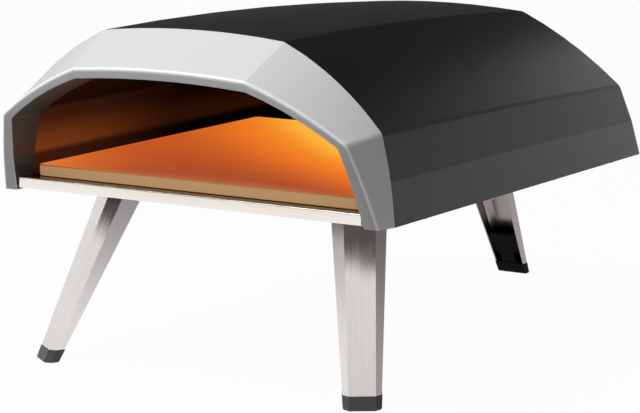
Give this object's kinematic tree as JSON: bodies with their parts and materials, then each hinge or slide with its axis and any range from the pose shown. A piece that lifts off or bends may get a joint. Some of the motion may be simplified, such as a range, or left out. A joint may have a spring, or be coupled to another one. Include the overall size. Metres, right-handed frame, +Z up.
{
  "type": "portable pizza oven",
  "caption": "Low arched gas pizza oven with a flared metal front, a stone floor, a rear burner with control knob, and folding channel legs.",
  "frame": {"origin": "middle of the bounding box's underside, on the ground that the feet stand on", "axes": "+Z up, -Y out of the mouth, +Y towards the burner housing and knob, +X to the right as seen from the front"},
  "size_m": [0.396, 0.6075, 0.3032],
  "materials": {
    "powder_coat": "matt black powder coat",
    "silver_frame": "satin silver",
    "stainless": "brushed",
    "galvanised": "plain sheet",
    "liner_steel": "heat-darkened sheet",
    "burner_steel": "plain tube and sheet",
    "fibre": "ceramic fibre",
    "board": "mineral fibre board",
    "stone": "unglazed cordierite",
    "foot_rubber": "matt moulded",
    "fastener": "plated",
    "valve_body": "die-cast",
    "brass": "turned",
    "knob_plastic": "moulded",
    "dial": "satin disc, bare",
    "ceramic": "unglazed",
    "lead_cover": "silicone sleeve"
  },
  "bodies": {
    "oven": {"front_frame": "silver_frame", "outer_shell": "powder_coat", "rear_panel": "powder_coat", "inner_liner": "liner_steel", "liner_back": "liner_steel", "back_insulation": "fibre", "insulation_blanket": "fibre", "base_plate": "galvanised", "front_sill": "stainless", "floor_insulation": "board", "floor_tray": "liner_steel", "stone_supports": "stainless", "burner_tube": "burner_steel", "burner_saddles": "burner_steel", "flame_guard": "burner_steel", "venturi_tube": "burner_steel", "gas_jet": "brass", "gas_valve": "valve_body", "gas_inlet": "brass", "inlet_nut": "brass", "valve_perch": "galvanised", "dial_plate": "dial", "spark_probe": "ceramic", "spark_wire": "stainless", "flame_sensor": "stainless", "spark_lead": "lead_cover", "sensor_lead": "lead_cover", "burner_housing": "powder_coat", "bracket_rivets": "fastener", "base_screws": "fastener", "frame_screws": "fastener", "sill_screws": "fastener", "rear_panel_screws": "fastener", "housing_screws": "fastener", "bracket_left": "galvanised", "hinge_pin_left": "fastener", "bracket_right": "galvanised", "hinge_pin_right": "fastener", "bracket_rear": "galvanised", "hinge_pin_rear": "fastener"},
    "stone": {"baking_stone": "stone"},
    "plunger": {"valve_plunger": "brass"},
    "control": {"valve_stem": "stainless", "control_knob": "knob_plastic"},
    "leg_left": {"leg_left": "stainless", "foot_left": "foot_rubber"},
    "leg_right": {"leg_right": "stainless", "foot_right": "foot_rubber"},
    "leg_rear": {"leg_rear": "stainless", "foot_rear": "foot_rubber"}
  },
  "joints": [
    {"name": "stone_slide", "type": "slide", "parent": "oven", "child": "stone", "axis": [0, -1, 0], "range_m": [0, 0.36]},
    {"name": "leg_left_fold", "type": "hinge", "parent": "oven", "child": "leg_left", "pos_m": [-0.11981, -0.18352, 0.149], "axis": [0.8271, -0.5621, 0], "range_deg": [0, 113.2]},
    {"name": "leg_right_fold", "type": "hinge", "parent": "oven", "child": "leg_right", "pos_m": [0.11981, -0.18352, 0.149], "axis": [0.8271, 0.5621, 0], "range_deg": [0, 113.2]},
    {"name": "leg_rear_fold", "type": "hinge", "parent": "oven", "child": "leg_rear", "pos_m": [0, 0.21552, 0.149], "axis": [-1, 0, 0], "range_deg": [0, 113.2]},
    {"name": "knob_push", "type": "slide", "parent": "oven", "child": "plunger", "axis": [0, -1, 0], "range_m": [0, 0.004], "stiffness_N_per_m": 900, "springref_m": -0.004},
    {"name": "knob_turn", "type": "hinge", "parent": "plunger", "child": "control", "pos_m": [-0.045, 0.26721, 0.175], "axis": [0, 1, 0], "range_deg": [0, 210]}
  ]
}
